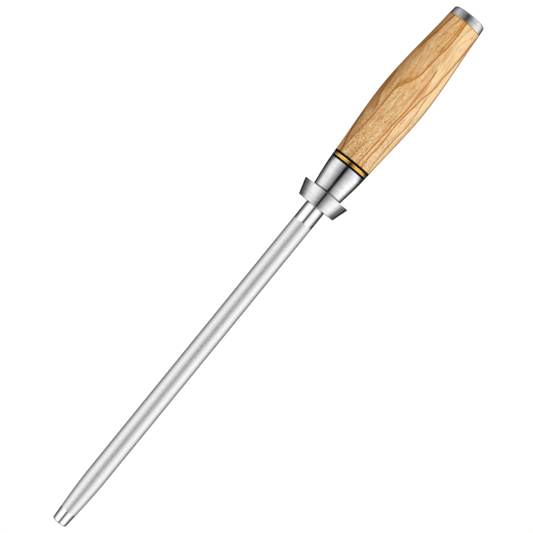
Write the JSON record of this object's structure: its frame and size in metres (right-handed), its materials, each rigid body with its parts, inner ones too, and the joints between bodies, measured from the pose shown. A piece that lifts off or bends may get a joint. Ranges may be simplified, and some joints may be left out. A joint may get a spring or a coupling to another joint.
{
  "type": "knife sharpening steel",
  "caption": "Round diamond-coated sharpening steel with a conical guard, tapered steel ferrule, black and brass rings, turned wooden handle and steel butt cap.",
  "frame": {"origin": "centre of the butt cap's flat end face, on which the steel stands upright", "axes": "+Z along the steel's axis, from the butt to the tip; the steel is round, and +X points to the first locating pin inside the ferrule"},
  "size_m": [0.033, 0.033, 0.3988],
  "materials": {
    "polished_steel": "polished stainless steel with fine turning lines round the axis",
    "brushed_steel": "brushed round the axis, softly reflecting",
    "diamond_grit": "fine even diamond grit in a pale nickel bond, satin and slightly sparkling",
    "brass": "polished, with one fine line round its middle",
    "black_plastic": "black, semi-gloss",
    "olive_wood": "pale golden wood with long orange-brown grain lines, satin oil finish",
    "zinc_plated_steel": "zinc plated, dull",
    "rubber": "black, matte"
  },
  "bodies": {
    "root": {"rod": "polished_steel", "diamond_coating": "diamond_grit", "guard": "polished_steel", "ferrule": "polished_steel", "front_spacer": "black_plastic", "brass_ring": "brass", "rear_spacer": "black_plastic", "handle": "olive_wood", "locating_pin_1": "zinc_plated_steel", "locating_pin_2": "zinc_plated_steel", "tang_washer": "zinc_plated_steel", "lock_washer": "zinc_plated_steel", "tang_nut": "zinc_plated_steel", "butt_cap": "brushed_steel", "cap_seal": "rubber"}
  },
  "joints": []
}
